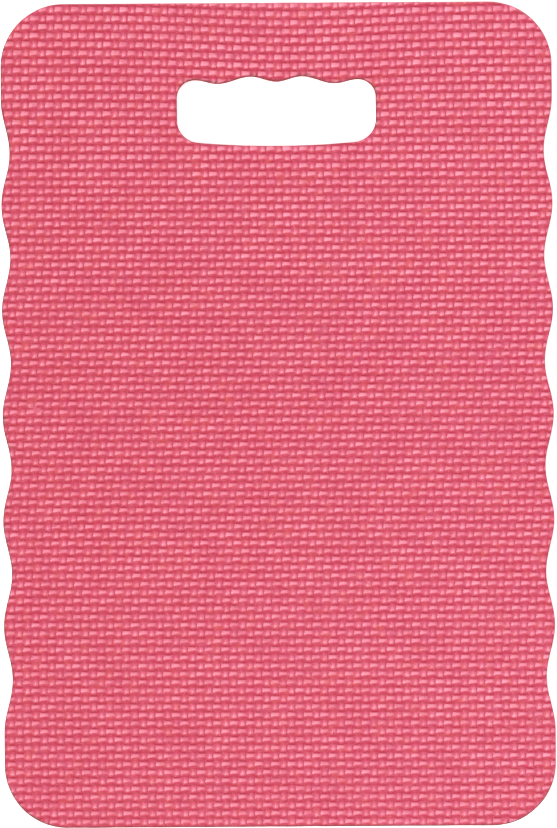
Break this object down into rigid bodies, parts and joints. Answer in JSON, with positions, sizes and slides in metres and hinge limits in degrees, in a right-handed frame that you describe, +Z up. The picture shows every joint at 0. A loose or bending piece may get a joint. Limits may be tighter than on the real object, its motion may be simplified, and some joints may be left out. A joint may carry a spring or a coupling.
{
  "type": "kneeling pad",
  "caption": "Flat rectangular foam kneeling pad with rounded corners, an embossed woven face, finger hollows along both long sides and a hand slot with finger grips near one end.",
  "frame": {"origin": "middle of the underside, where the pad lies on the ground", "axes": "+Y along the pad's length towards the hand slot, +X across it, +Z up out of the kneeling face"},
  "size_m": [0.281, 0.42, 0.02],
  "materials": {
    "face_foam": "coral pink closed-cell EVA foam, embossed with a plain weave and satin where the hot roller skinned it",
    "core_foam": "plain coral pink closed-cell EVA foam, matt, with fine open pores on its die-cut edges"
  },
  "bodies": {
    "root": {"bottom_sheet": "face_foam", "lower_core_sheet": "core_foam", "upper_core_sheet": "core_foam", "top_sheet": "face_foam"}
  },
  "joints": []
}
